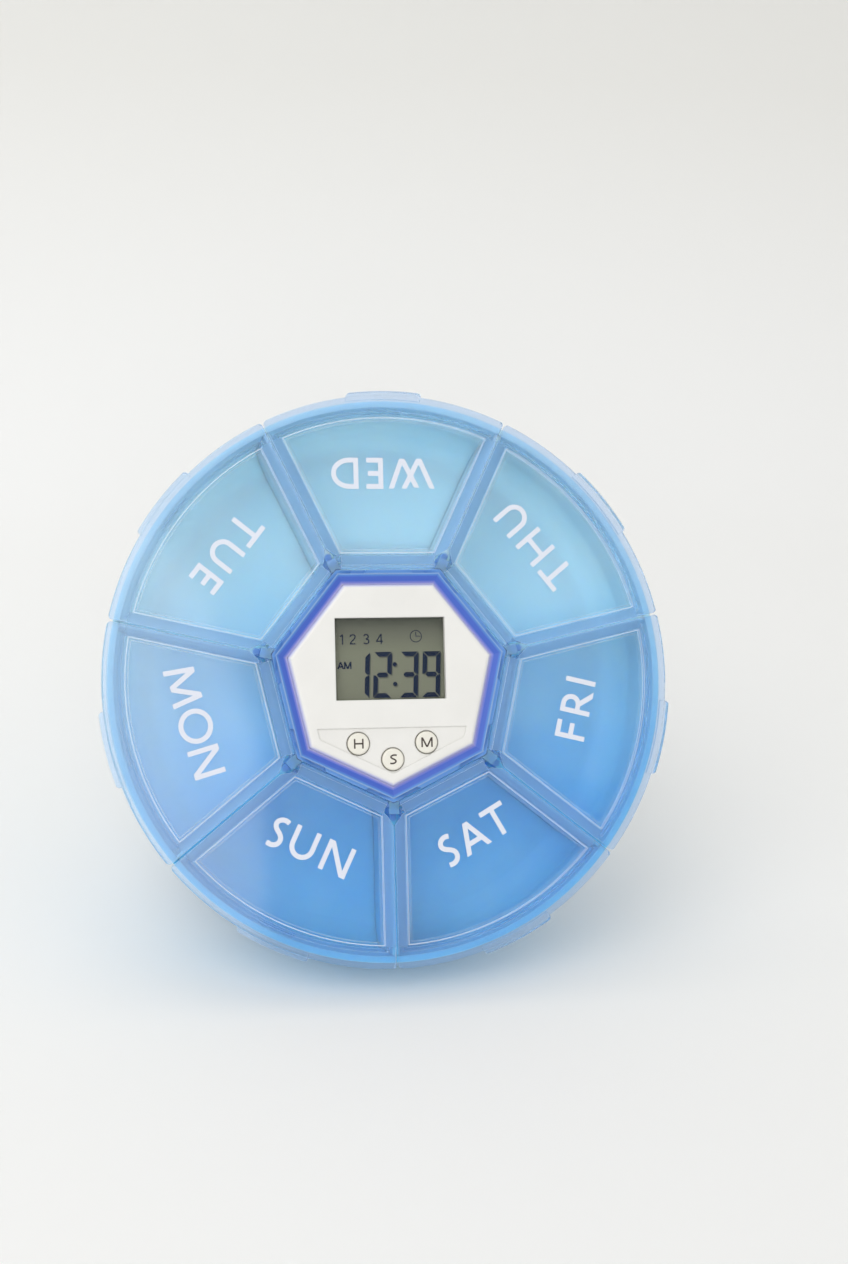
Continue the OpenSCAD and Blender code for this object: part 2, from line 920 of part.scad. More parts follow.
module cover_screws() {
    tip_gap = 0.5;
    cross = [1.8, 0.35, 0.5];
    color([0.7, 0.7, 0.72])
        stand_up()
            for (p = screw_at)
                translate([p.x, p.y, timer_back])
                    difference() {
                        union() {
                            translate([0, 0, screw_head_low])
                                cylinder(h = screw_head_h, r = screw_head_r, $fn = 32);
                            translate([0, 0, screw_head_low])
                                cylinder(h = screw_l + back_t - tip_gap, r = screw_r, $fn = 24);
                        }
                        for (a = [0, 90])
                            rotate([0, 0, a])
                                translate([0, 0, screw_head_low])
                                    cube(cross, center = true);
                    }
}

// The folding leg, drawn along -Y from its hinge as it lies when folded
module leg_shape() {
    end = leg_l + 2;
    rib = 2;
    foot_rib = 6;
    notch_r = 7;
    notch_depth = 2.5;
    difference() {
        union() {
            rotate([0, 90, 0])
                cylinder(h = leg_top_w, r = leg_barrel_r, center = true, $fn = 48);
            translate([0, 0, -leg_t / 2])
                linear_extrude(leg_t)
                    difference() {
                        leg_outline(end, 0);
                        leg_outline(end - foot_rib, rib);
                    }
            translate([0, 0, leg_t / 2 - leg_web_t])
                linear_extrude(leg_web_t)
                    leg_outline(end, 0);
            translate([-leg_top_w / 2, 0, -leg_barrel_r])
                cube([leg_top_w, heel_l, leg_barrel_r + heel_top]);
        }
        rotate([0, 90, 0])
            cylinder(h = 2 * leg_top_w, r = leg_pin_r + leg_bore_gap, center = true, $fn = 32);
        translate([0, -leg_l - notch_r + notch_depth, -leg_t])
            cylinder(h = 2 * leg_t, r = notch_r, $fn = 64);
    }
}

module leg_outline(end, inset) {
    top_rib = 1.5;
    top = leg_top_w / 2 - inset;
    foot = leg_foot_w / 2 - inset;
    start = inset == 0 ? 0 : leg_barrel_r + top_rib;
    polygon([[-top, -start], [-foot, -end], [foot, -end], [top, -start]]);
}

module stand_leg() {
    color([0.45, 0.68, 0.9, 0.7])
        difference() {
            stand_up()
                translate([0, leg_hinge_y, leg_pin_h])
                    rotate([leg_open, 0, 0])
                        leg_shape();
            translate([-disc_r, -disc_r, -disc_r])
                cube([2 * disc_r, 3 * disc_r, disc_r]);
        }
}

module stand_pin() {
    pin_in = 0.2;
    color([0.75, 0.76, 0.78])
        stand_up()
            translate([0, leg_hinge_y, leg_pin_h])
                rotate([0, 90, 0])
                    cylinder(h = leg_top_w + 2 * (leg_play + lug_t - pin_in), r = leg_pin_r,
                    center = true, $fn = 32);
}

base_tray();
pocket_walls();
foot_ring();
center_ring();
lid(0);  // lid_sat
lid(1);  // lid_fri
lid(2);  // lid_thu
lid(3);  // lid_wed
lid(4);  // lid_tue
lid(5);  // lid_mon
lid(6);  // lid_sun
timer_bezel();
timer_back_cover();
lcd_window();
lcd_cell();
zebra_strip();
lcd_foam_strip();
circuit_board();
controller_chip();
quartz_crystal();
key_switches();
buzzer();
coin_cell();
contact_positive();
contact_negative();
battery_door();
button(0);  // button_hour
button(1);  // button_set
button(2);  // button_minute
cover_screws();
stand_leg();
stand_pin();
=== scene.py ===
"""Looks of the round pill dispenser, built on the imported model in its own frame, in metres."""

import math

import bpy
from mathutils import Matrix, Vector


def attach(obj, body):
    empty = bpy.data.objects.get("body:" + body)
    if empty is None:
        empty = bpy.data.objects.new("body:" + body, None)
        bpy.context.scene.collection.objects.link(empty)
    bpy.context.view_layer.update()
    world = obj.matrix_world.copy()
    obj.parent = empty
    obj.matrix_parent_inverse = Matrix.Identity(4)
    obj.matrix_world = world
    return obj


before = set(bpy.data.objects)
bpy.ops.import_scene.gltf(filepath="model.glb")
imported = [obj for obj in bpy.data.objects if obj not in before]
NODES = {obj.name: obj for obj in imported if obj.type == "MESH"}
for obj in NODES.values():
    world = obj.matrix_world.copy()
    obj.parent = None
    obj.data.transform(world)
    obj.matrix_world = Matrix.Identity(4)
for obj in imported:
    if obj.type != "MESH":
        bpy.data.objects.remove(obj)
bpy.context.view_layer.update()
MM = 0.001

# The disc's own frame: x to the right, y up the disc, z out of its face, all in millimetres
LEAN = 32.0
DISC_H = 25.4
STAND_Y = 13.260831
STAND_Z = 43.212806
TO_ROW = (
    Matrix.Translation((0, STAND_Y * MM, STAND_Z * MM))
    @ Matrix.Rotation(math.radians(90 - LEAN), 4, "X")
    @ Matrix.Scale(MM, 4)
)
TILT = math.radians(90 - LEAN)
DISC_AXES = ((1, 0, 0), (0, math.cos(TILT), math.sin(TILT)), (0, -math.sin(TILT), math.cos(TILT)))
DAYS = ["sat", "fri", "thu", "wed", "tue", "mon", "sun"]
PITCH = 360 / 7
HALF = math.radians(PITCH / 2)

# The middle ring and the white timer in it: distances of their flats from the middle, and heights
RING_SINK = 0.2
RING_TOP = DISC_H - RING_SINK
RING_OUT = 22.35
LIP = 0.75
WELL = 19.6
DROP = 0.9
TIMER_RISE = 0.2
TIMER_SIDE = 19.37

# The clear panel of a lid: its outer radius, and its distances from the divider and from the middle
PANEL_R = 53.5
PANEL_ASIDE = 2.35
PANEL_ALONG = 25.7


def day_angle(day):
    return -90 + PITCH / 2 + PITCH * DAYS.index(day)


def turn(angle):
    return Matrix.Rotation(math.radians(angle), 4, "Z")


# ---------------------------------------------------------------- node trees


class Tree:
    """A material's node tree, with short calls for the nodes used here."""

    def __init__(self, name):
        self.mat = bpy.data.materials.new(name)
        self.mat.use_nodes = True
        self.t = self.mat.node_tree
        self.t.nodes.clear()
        self.out = self.t.nodes.new("ShaderNodeOutputMaterial")

    def node(self, kind, values=None, **props):
        n = self.t.nodes.new("ShaderNode" + kind)
        for k, v in props.items():
            setattr(n, k, v)
        for k, v in (values or {}).items():
            if isinstance(v, bpy.types.NodeSocket):
                self.t.links.new(v, n.inputs[k])
            else:
                n.inputs[k].default_value = v
        return n

    def coords(self):
        """Object coordinates in millimetres."""
        c = self.node("TexCoord").outputs["Object"]
        return self.node("VectorMath", {0: c, 1: (1000, 1000, 1000)}, operation="MULTIPLY").outputs[0]

    def noise(self, vector, scale, detail=2.0, rough=0.5):
        values = {"Vector": vector, "Scale": scale, "Detail": detail, "Roughness": rough}
        return self.node("TexNoise", values).outputs[0]

    def math(self, op, a, b=0.0, clamp=False):
        return self.node("Math", {0: a, 1: b}, operation=op, use_clamp=clamp).outputs[0]

    def ranged(self, value, low, high, to_low, to_high):
        values = {"Value": value, "From Min": low, "From Max": high, "To Min": to_low, "To Max": to_high}
        return self.node("MapRange", values).outputs[0]

    def mix(self, fac, a, b):
        n = self.node("Mix", data_type="RGBA")
        for socket, v in ((0, fac), (6, a), (7, b)):
            if isinstance(v, bpy.types.NodeSocket):
                self.t.links.new(v, n.inputs[socket])
            else:
                n.inputs[socket].default_value = v
        return n.outputs[2]

    def blend(self, fac, a, b):
        """Shader a where fac is 0, shader b where it is 1."""
        return self.node("MixShader", {0: fac, 1: a.outputs[0], 2: b.outputs[0]})

    def bump(self, height, strength, distance, normal=None):
        values = {"Height": height, "Strength": strength, "Distance": distance}
        if normal is not None:
            values["Normal"] = normal
        return self.node("Bump", values).outputs[0]

    def bevel(self, radius_mm, samples=4):
        return self.node("Bevel", {"Radius": radius_mm * MM}, samples=samples).outputs[0]

    def dot(self, a, b):
        return self.node("VectorMath", {0: a, 1: b}, operation="DOT_PRODUCT").outputs["Value"]

    def edges(self, radius_mm, samples=4):
        """1 along the sharp edges, 0 on the open faces."""
        true = self.node("NewGeometry").outputs["True Normal"]
        straight = self.math("ABSOLUTE", self.dot(self.bevel(radius_mm, samples), true))
        return self.ranged(straight, 0.985, 0.8, 0, 1)

    def disc(self):
        """In the disc's frame, in millimetres: radius, distance of the flat through the point from the
        middle, distance to the divider, and height. Also keeps x and y as side and up."""
        middle = (0, -STAND_Y, -STAND_Z)
        p = self.node("VectorMath", {0: self.coords(), 1: middle}, operation="ADD").outputs[0]
        x, y, w = (self.dot(p, axis) for axis in DISC_AXES)
        self.side, self.up = x, y
        r = self.math("SQRT", self.math("ADD", self.math("MULTIPLY", x, x), self.math("MULTIPLY", y, y)))
        angle = self.math("SUBTRACT", self.math("ARCTAN2", y, x), math.radians(day_angle("sat")))
        off = self.node("Math", {0: angle, 1: HALF, 2: -HALF}, operation="WRAP").outputs[0]
        along = self.math("MULTIPLY", r, self.math("COSINE", off))
        aside = self.math("SUBTRACT", HALF, self.math("ABSOLUTE", off))
        return r, along, self.math("MULTIPLY", r, self.math("SINE", aside)), w

    def finish(self, shader):
        self.t.links.new(shader, self.out.inputs["Surface"])
        return self.mat


def rgb(r, g, b):
    """A colour written as screen values from 0 to 255."""
    def linear(v):
        v /= 255
        return v / 12.92 if v <= 0.04045 else ((v + 0.055) / 1.055) ** 2.4
    return (linear(r), linear(g), linear(b), 1.0)


def milky_plastic(name, tint, deep, trans, rough, edge_highlight):
    """Translucent moulded plastic: painted shade deepens it towards the foot and painted light from behind
    makes it paler higher up, with painted highlights along its edges, but not on the posts.
    """
    t = Tree(name)
    v = t.coords()
    slow = t.noise(v, 0.06, 2.0)
    fine = t.noise(v, 2.2, 2.0)
    _, along, _, w = t.disc()
    drift = t.math("MULTIPLY", t.math("SUBTRACT", slow, 0.5), 0.5)
    # Painted shade and light: the colour deepens towards the foot, as if shaded near the table, and pales
    # higher up, as if lit from behind.
    colour = t.mix(t.math("ADD", t.ranged(t.up, -26, 26, 0, 1), drift, True), deep, tint)
    post = t.math("MULTIPLY", t.ranged(along, 25.9, 25.5, 0, 1), t.ranged(w, 20.0, 21.0, 0, 1))
    # Painted highlight: the sharp edges turn paler, as if catching light, except on the posts.
    edge_highlight_strength = t.math("SUBTRACT", 0.6, t.math("MULTIPLY", post, 0.6))
    colour = t.mix(t.math("MULTIPLY", t.edges(0.22), edge_highlight_strength), colour, edge_highlight)
    colour = t.mix(t.math("MULTIPLY", post, 0.85), colour, rgb(112, 158, 226))
    normal = t.bump(slow, 0.02, 0.01, t.bevel(0.2))
    bsdf = t.node(
        "BsdfPrincipled",
        {
            "Base Color": colour,
            "Roughness": t.ranged(fine, 0.3, 0.7, rough * 0.9, rough * 1.1),
            "IOR": 1.3,
            "Transmission Weight": trans,
            "Subsurface Weight": 1.0,
            "Subsurface Radius": (0.7, 0.85, 1.0),
            "Subsurface Scale": 0.003,
            "Normal": normal,
        },
    )
    return t.finish(bsdf.outputs[0])


def lid_plastic(name):
    """Clear, faintly blue plastic, a little milky over the walls, with painted highlights along its edges and
    the plug rim's lines, and a painted reflection of light towards the left side.
    """
    t = Tree(name)
    v = t.coords()
    slow = t.noise(v, 0.05, 2.0)
    fine = t.noise(v, 2.0, 2.0)
    r, along, aside, _ = t.disc()
    frame_band = t.math("MAXIMUM", t.ranged(r, 53.6, 54.3, 0, 1), t.ranged(along, 25.6, 25.2, 0, 1))
    frame_band = t.math("MAXIMUM", frame_band, t.ranged(aside, 2.5, 2.1, 0, 1))
    overhang = t.ranged(r, 56.6, 57.2, 0, 1)
    tint = t.mix(t.ranged(slow, 0.35, 0.65, 0, 1), (0.88, 0.94, 0.99, 1), (0.86, 0.93, 0.99, 1))
    tint = t.mix(frame_band, tint, (0.72, 0.85, 0.98, 1))
    tint = t.mix(overhang, tint, (0.82, 0.89, 1.0, 1))
    normal = t.bump(slow, 0.03, 0.01, t.bevel(0.12))
    clear = t.node(
        "BsdfPrincipled",
        {
            "Base Color": tint,
            "Roughness": t.ranged(fine, 0.3, 0.7, 0.05, 0.07),
            "IOR": 1.12,
            "Transmission Weight": 1.0,
            "Coat Weight": 0.8,
            "Coat Roughness": 0.06,
            "Coat IOR": 1.45,
            "Normal": normal,
        },
    )
    haze = t.node("BsdfDiffuse", {"Color": (0.42, 0.66, 0.92, 1), "Normal": normal})
    through = t.node("BsdfTranslucent", {"Color": (0.42, 0.66, 0.92, 1), "Normal": normal})
    milk = t.blend(0.5, haze, through)
    # Painted highlights: this pale diffuse is laid along the sharp edges and along the plug rim's lines,
    # where light would catch.
    line = t.node("BsdfDiffuse", {"Color": (0.80, 0.87, 0.98, 1), "Normal": normal})
    outer = t.ranged(r, 53.6, 54.3, 0, 0.13)
    cloudy = t.math("ADD", 0.05, t.math("SUBTRACT", t.math("MULTIPLY", frame_band, 0.27), outer))
    round_panel = t.math("MINIMUM", t.math("SUBTRACT", PANEL_R, r), t.math("SUBTRACT", aside, PANEL_ASIDE))
    round_panel = t.math("MINIMUM", round_panel, t.math("SUBTRACT", along, PANEL_ALONG))
    # A thin and a broad painted highlight line inside the panel's outline, for the plug rim's edges.
    thin = t.math("MULTIPLY", t.ranged(round_panel, 0.0, 0.06, 0, 1), t.ranged(round_panel, 0.24, 0.18, 0, 1))
    broad = t.math("MULTIPLY", t.ranged(round_panel, 0.6, 0.66, 0, 1), t.ranged(round_panel, 0.8, 0.74, 0, 1))
    rim_highlight = t.math("ADD", t.math("MULTIPLY", thin, 0.45), t.math("MULTIPLY", broad, 0.18))
    highlight_mask = t.math("MAXIMUM", t.math("MULTIPLY", t.edges(0.14), 0.6), rim_highlight)
    look = t.blend(highlight_mask, t.blend(cloudy, clear, milk), line)
    # Painted reflection of light: towards the left side the lids are blended toward a pale diffuse.
    left_reflection = t.node("BsdfDiffuse", {"Color": (0.64, 0.83, 0.93, 1), "Normal": normal})
    look = t.blend(t.ranged(t.side, -26, -48, 0.0, 0.12), look, left_reflection)
    shadow = t.node("LightPath").outputs["Is Shadow Ray"]
    passed = t.node("BsdfTransparent", {"Color": (0.91, 0.95, 0.99, 1)})
    return t.finish(t.blend(shadow, look, passed).outputs[0])


def ring_plastic(name):
    """The middle ring: light blue with a fine pale line outside that is a painted highlight, paler at its
    outer edge, deep blue inside as painted shade down the sloping band, and lavender by the timer as a
    painted reflection of the white timer.
    """
    t = Tree(name)
    v = t.coords()
    slow = t.noise(v, 0.08, 2.0)
    fine = t.noise(v, 2.4, 2.0)
    _, along, _, _ = t.disc()
    # Painted reflection and shade: lavender and near-white beside the timer reflect its white wall; the deep
    # blue beyond is painted shade down the band.
    colour = t.mix(t.ranged(along, 19.6, 20.15, 0, 1), rgb(166, 166, 230), rgb(74, 108, 204))
    colour = t.mix(t.ranged(along, 19.65, 19.45, 0, 0.8), colour, rgb(206, 207, 243))
    colour = t.mix(t.ranged(along, 20.9, 21.3, 0, 1), colour, rgb(92, 146, 214))
    # Painted highlight: a fine pale line along the top edge of the wall.
    line = t.math("MULTIPLY", t.ranged(along, 21.35, 21.5, 0, 1), t.ranged(along, 21.75, 21.6, 0, 1))
    colour = t.mix(t.math("MULTIPLY", line, 0.6), colour, rgb(176, 202, 238))
    colour = t.mix(t.ranged(along, 22.1, 22.3, 0, 0.5), colour, rgb(150, 185, 232))
    colour = t.mix(t.math("MULTIPLY", t.ranged(slow, 0.35, 0.65, 0, 1), 0.12), colour, rgb(80, 120, 205))
    bsdf = t.node(
        "BsdfPrincipled",
        {
            "Base Color": colour,
            "Roughness": t.ranged(fine, 0.3, 0.7, 0.28, 0.34),
            "IOR": 1.4,
            "Subsurface Weight": 0.35,
            "Subsurface Radius": (0.6, 0.8, 1.0),
            "Subsurface Scale": 0.0008,
            "Normal": t.bump(slow, 0.02, 0.01, t.bevel(0.25)),
        },
    )
    return t.finish(bsdf.outputs[0])


def timer_plastic(name):
    """Satin white, with the ring's blue light on its outer rounding."""
    t = Tree(name)
    v = t.coords()
    slow = t.noise(v, 0.12, 3.0)
    fine = t.noise(v, 3.0, 3.0)
    _, along, _, _ = t.disc()
    colour = t.mix(t.ranged(slow, 0.35, 0.65, 0, 1), rgb(238, 237, 233), rgb(235, 234, 230))
    colour = t.mix(t.ranged(along, 18.75, 19.4, 0, 0.85), colour, rgb(178, 180, 232))
    normal = t.bump(fine, 0.04, 0.0001, t.bevel(0.3))
    bsdf = t.node(
        "BsdfPrincipled",
        {
            "Base Color": colour,
            "Roughness": t.ranged(fine, 0.3, 0.7, 0.36, 0.42),
            "IOR": 1.45,
            "Subsurface Weight": 0.3,
            "Subsurface Radius": (1.0, 1.0, 1.0),
            "Subsurface Scale": 0.0008,
            "Normal": normal,
        },
    )
    return t.finish(bsdf.outputs[0])


def solid_plastic(name, tint, deep, rough, edge=0.25, grain=0.0):
    """Opaque moulded plastic with faint colour drift, fine grain and rounded edges."""
    t = Tree(name)
    v = t.coords()
    slow = t.noise(v, 0.12, 3.0)
    fine = t.noise(v, 3.0, 4.0)
    colour = t.mix(t.ranged(slow, 0.35, 0.65, 0, 1), tint, deep)
    normal = t.bevel(edge)
    normal = t.bump(slow, 0.03, 0.01, normal)
    if grain:
        normal = t.bump(fine, grain, 0.0002, normal)
    bsdf = t.node(
        "BsdfPrincipled",
        {
            "Base Color": colour,
            "Roughness": t.ranged(fine, 0.3, 0.7, rough * 0.85, rough * 1.15),
            "IOR": 1.5,
            "Normal": normal,
        },
    )
    return t.finish(bsdf.outputs[0])


def metal(name, colour, rough, brushed=0.0):
    t = Tree(name)
    v = t.coords()
    fine = t.noise(t.node("VectorMath", {0: v, 1: (8, 0.6, 0.6)}, operation="MULTIPLY").outputs[0], 2.0, 4.0)
    bsdf = t.node(
        "BsdfPrincipled",
        {
            "Base Color": t.mix(fine, colour, tuple(c * 0.85 for c in colour[:3]) + (1,)),
            "Metallic": 1.0,
            "Roughness": t.ranged(fine, 0.2, 0.8, rough * 0.7, rough * 1.3),
            "Normal": t.bump(fine, 0.05 + brushed, 0.0001, t.bevel(0.1)),
        },
    )
    return t.finish(bsdf.outputs[0])


def ink(name, colour, rough=0.45, shine=0.5):
    t = Tree(name)
    fine = t.noise(t.coords(), 6.0, 3.0)
    darker = tuple(c * 0.93 for c in colour[:3]) + (1,)
    bsdf = t.node(
        "BsdfPrincipled",
        {
            "Base Color": t.mix(t.ranged(fine, 0.3, 0.7, 0, 1), colour, darker),
            "Roughness": rough,
            "Specular IOR Level": shine,
            "Normal": t.bump(fine, 0.05, 0.00005),
        },
    )
    return t.finish(bsdf.outputs[0])


M = {
    "tray": milky_plastic(
        "tray_blue", (0.64, 0.84, 0.95, 1), (0.16, 0.54, 0.86, 1), 0.15, 0.45, (0.78, 0.88, 1.0, 1)
    ),
    "lid": lid_plastic("lid_blue"),
    "ring": ring_plastic("ring_blue"),
    "leg": milky_plastic(
        "leg_blue", (0.36, 0.62, 0.95, 1), (0.28, 0.56, 0.94, 1), 0.3, 0.45, (0.7, 0.83, 1.0, 1)
    ),
    "white": timer_plastic("timer_white"),
    "cover": solid_plastic("cover_white", rgb(236, 235, 230), rgb(230, 229, 224), 0.5, grain=0.25),
    "button": solid_plastic("button_ivory", rgb(240, 237, 226), rgb(234, 231, 219), 0.35, edge=0.2),
    "rubber": solid_plastic("zebra_pink", rgb(225, 190, 190), rgb(60, 55, 55), 0.7),
    "foam": solid_plastic("foam_black", rgb(40, 40, 40), rgb(25, 25, 25), 0.9, grain=0.6),
    "board": solid_plastic("board_green", rgb(25, 110, 60), rgb(20, 90, 50), 0.35),
    "epoxy": solid_plastic("epoxy_black", rgb(18, 18, 18), rgb(12, 12, 12), 0.25),
    "switch": solid_plastic("switch_black", rgb(35, 35, 38), rgb(28, 28, 30), 0.5),
    "buzzer": solid_plastic("buzzer_black", rgb(25, 25, 26), rgb(20, 20, 21), 0.45),
    "steel": metal("can_steel", (0.75, 0.75, 0.76, 1), 0.3, 0.1),
    "nickel": metal("contact_nickel", (0.82, 0.8, 0.74, 1), 0.25),
    "screw": metal("screw_steel", (0.66, 0.66, 0.68, 1), 0.35),
    "print_white": ink("print_white", rgb(229, 233, 244)),
    "print_dark": ink("print_dark", rgb(58, 45, 40)),
    "segment": ink("display_segment", rgb(20, 31, 56), 0.5, 0.1),
    "segment_shade": ink("display_segment_shade", rgb(84, 87, 79), 0.5, 0.1),
}


def display_grey():
    """The display's polarised glass, darker under the upper edge of the opening with a painted shadow."""
    t = Tree("display_grey")
    v = t.coords()
    fine = t.noise(v, 12.0, 2.0)
    p = t.node("VectorMath", {0: v, 1: (0, -STAND_Y, -STAND_Z)}, operation="ADD").outputs[0]
    y = t.dot(p, DISC_AXES[1])
    colour = t.mix(t.ranged(fine, 0.3, 0.7, 0, 1), rgb(112, 114, 100), rgb(107, 109, 95))
    # Painted shadow of the opening's upper edge: darker towards the top.
    colour = t.mix(t.ranged(y, 6.0, 12.4, 0, 1), colour, rgb(80, 82, 75))
    normal = t.bump(fine, 0.02, 0.0001)
    bsdf = t.node(
        "BsdfPrincipled",
        {"Base Color": colour, "Roughness": 0.4, "Specular IOR Level": 0.2, "Normal": normal},
    )
    return t.finish(bsdf.outputs[0])


def window_clear():
    """The thin clear pane: it bends light hardly at all and lets the lamps' light through."""
    t = Tree("window_clear")
    fine = t.noise(t.coords(), 0.5, 2.0)
    tint = t.mix(fine, (0.97, 0.98, 0.97, 1), (0.96, 0.97, 0.96, 1))
    pane = t.node(
        "BsdfPrincipled",
        {"Base Color": tint, "Roughness": 0.02, "IOR": 1.12, "Transmission Weight": 1.0},
    )
    clear = t.node("BsdfTransparent", {"Color": (0.95, 0.96, 0.95, 1)})
    shadow = t.node("LightPath").outputs["Is Shadow Ray"]
    return t.finish(t.blend(shadow, pane, clear).outputs[0])


M["display"] = display_grey()
M["window"] = window_clear()

WEAR = {
    "base_tray": "tray", "center_ring": "ring", "timer_bezel": "white", "timer_back_cover": "cover",
    "battery_door": "cover", "lcd_window": "window", "lcd_cell": "display", "zebra_strip": "rubber",
    "lcd_foam_strip": "foam", "circuit_board": "board", "controller_chip": "epoxy", "quartz_crystal": "steel",
    "key_switches": "switch", "buzzer": "buzzer", "coin_cell": "steel", "contact_positive": "nickel",
    "contact_negative": "nickel", "button_hour": "button", "button_set": "button", "button_minute": "button",
    "cover_screws": "screw", "stand_leg": "leg", "stand_pin": "screw", "pocket_walls": "tray",
    "foot_ring": "tray",
}
for day in DAYS:
    WEAR["lid_" + day] = "lid"
for name, obj in NODES.items():
    for s in obj.material_slots:
        s.material = M[WEAR[name]]
    if not obj.material_slots:
        obj.data.materials.append(M[WEAR[name]])

# ---------------------------------------------------------------- flat marks


def strip(points, width, closed=False, level=(False, False)):
    """Left and right edges of a stroke along points. level cuts an end parallel to the baseline."""
    n = len(points)
    left, right = [], []
    for i, p in enumerate(points):
        p = Vector(p)
        before = Vector(points[i - 1]) if i or closed else None
        after = Vector(points[(i + 1) % n]) if i < n - 1 or closed else None
        d1 = (p - before).normalized() if before is not None else None
        d2 = (after - p).normalized() if after is not None else None
        if d1 is None or d2 is None:
            d = d2 if d1 is None else d1
            if level[0 if d1 is None else 1] and abs(d.y) > 0.1:
                off = Vector((-(width / 2) / abs(d.y) * math.copysign(1, d.y), 0))
            else:
                off = Vector((-d.y, d.x)) * width / 2
        else:
            d = (d1 + d2).normalized()
            off = Vector((-d.y, d.x)) * width / 2 / max(0.4, d.dot(d2))
        left.append(p + off)
        right.append(p - off)
    return left, right


def slab(verts, faces, outline, low, high):
    """Adds a closed flat piece with the given outline between two heights."""
    n, at = len(outline), len(verts)
    verts += [(p[0], p[1], low) for p in outline] + [(p[0], p[1], high) for p in outline]
    faces.append([at + n + i for i in range(n)])
    faces.append([at + n - 1 - i for i in range(n)])
    for i in range(n):
        j = (i + 1) % n
        faces.append([at + i, at + j, at + n + j, at + n + i])


def stroke(verts, faces, points, width, low, high, closed=False, level=(False, False)):
    """Adds a closed strip along points."""
    left, right = strip(points, width, closed, level)
    n, at = len(left), len(verts)
    for z in (low, high):
        verts += [(p.x, p.y, z) for p in left] + [(p.x, p.y, z) for p in right]
    for i in range(n if closed else n - 1):
        j = (i + 1) % n
        faces.append([at + 2 * n + i, at + 3 * n + i, at + 3 * n + j, at + 2 * n + j])
        faces.append([at + i, at + j, at + n + j, at + n + i])
        faces.append([at + i, at + 2 * n + i, at + 2 * n + j, at + j])
        faces.append([at + n + i, at + n + j, at + 3 * n + j, at + 3 * n + i])
    if not closed:
        faces.append([at, at + n, at + 3 * n, at + 2 * n])
        e = n - 1
        faces.append([at + e, at + 2 * n + e, at + 3 * n + e, at + n + e])


def arc(cx, cy, rx, ry, a0, a1, n=14):
    angles = [math.radians(a0 + (a1 - a0) * i / n) for i in range(n + 1)]
    return [(cx + rx * math.cos(a), cy + ry * math.sin(a)) for a in angles]


def smooth(points, n=5):
    """A Catmull-Rom curve through the points."""
    p = [points[0]] + list(points) + [points[-1]]
    out = []
    for i in range(1, len(p) - 2):
        for k in range(n):
            t = k / n
            out.append(tuple(
                0.5 * (2 * p[i][c] + (p[i + 1][c] - p[i - 1][c]) * t
                       + (2 * p[i - 1][c] - 5 * p[i][c] + 4 * p[i + 1][c] - p[i + 2][c]) * t * t
                       + (3 * p[i][c] - p[i - 1][c] - 3 * p[i + 1][c] + p[i + 2][c]) * t ** 3)
                for c in (0, 1)))
    return out + [tuple(points[-1])]


